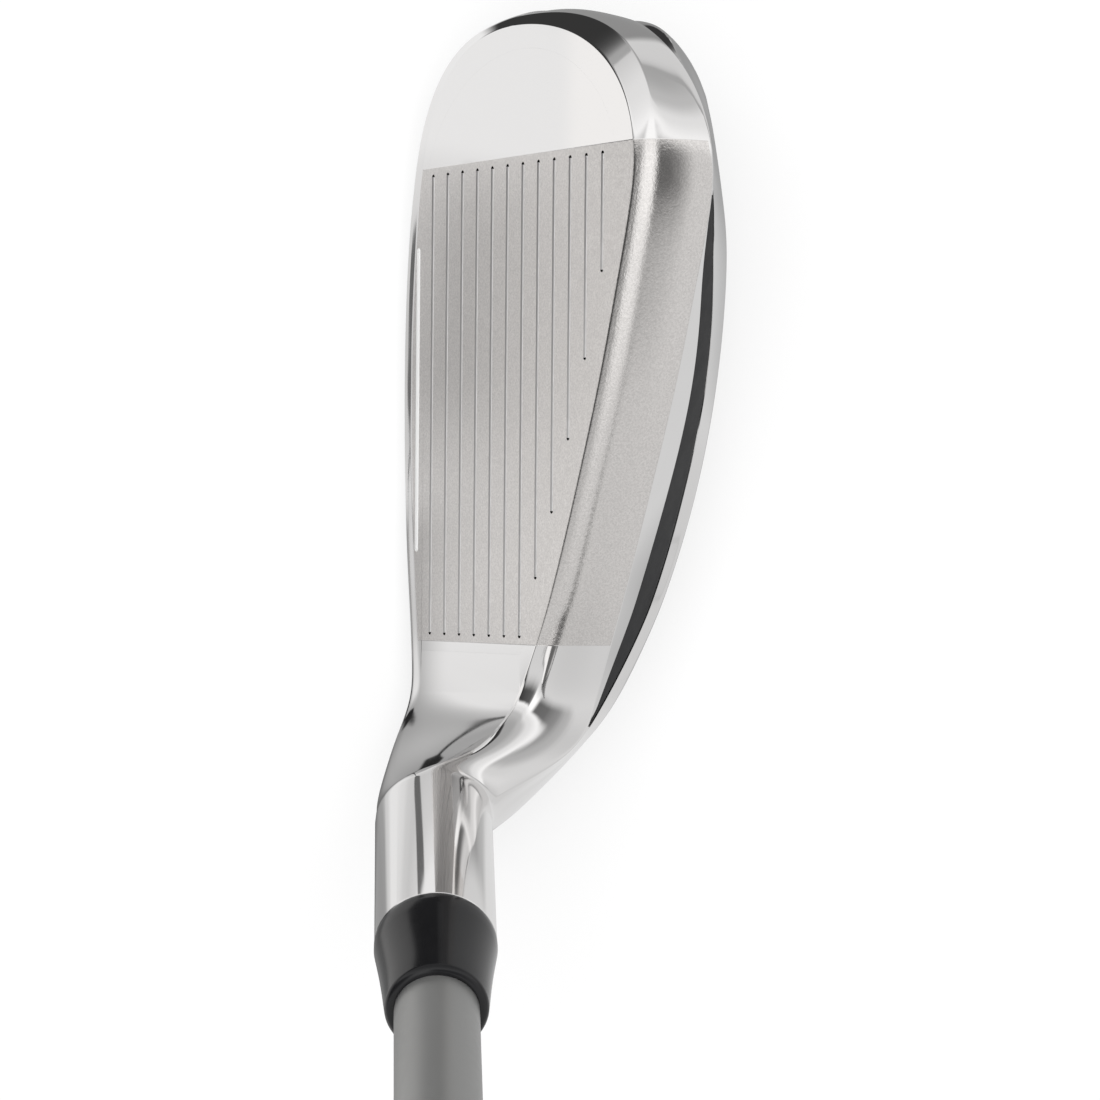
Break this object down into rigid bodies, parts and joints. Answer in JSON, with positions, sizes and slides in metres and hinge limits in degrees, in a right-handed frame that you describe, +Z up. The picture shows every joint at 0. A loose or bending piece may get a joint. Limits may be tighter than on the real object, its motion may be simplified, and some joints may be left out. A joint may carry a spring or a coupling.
{
  "type": "hybrid golf club",
  "caption": "Right-handed hybrid iron: hollow polished head with a scored face and thick top line, ferrule, tapered shaft and rubber grip.",
  "frame": {"origin": "the point where the shaft's axis meets the ground, with the club soled at address", "axes": "+Z up; +X from heel to toe; +Y towards the target; the shaft rises from the origin towards -X at the lie angle"},
  "size_m": [0.5325, 0.0501, 0.8513],
  "materials": {
    "polished_steel": "polished, blasted satin on the top line",
    "blasted_steel": "fine blasted satin",
    "white_paint": "gloss",
    "black_panel": "matt",
    "heavy_alloy": "as cast",
    "ferrule_black": "gloss",
    "shaft_grey": "satin lacquer",
    "brass_pin": "turned",
    "tape": "matt",
    "grip_rubber": "matt, textured",
    "cap_rubber": "satin"
  },
  "bodies": {
    "root": {"head_body": "polished_steel", "face_plate": "blasted_steel", "face_line_fill": "white_paint", "crown_panel": "black_panel", "sole_weight": "heavy_alloy", "toe_weight": "heavy_alloy", "ferrule": "ferrule_black", "shaft": "shaft_grey", "tip_weight": "brass_pin", "grip_tape": "tape", "grip_sleeve": "grip_rubber", "grip_cap": "cap_rubber"}
  },
  "joints": []
}
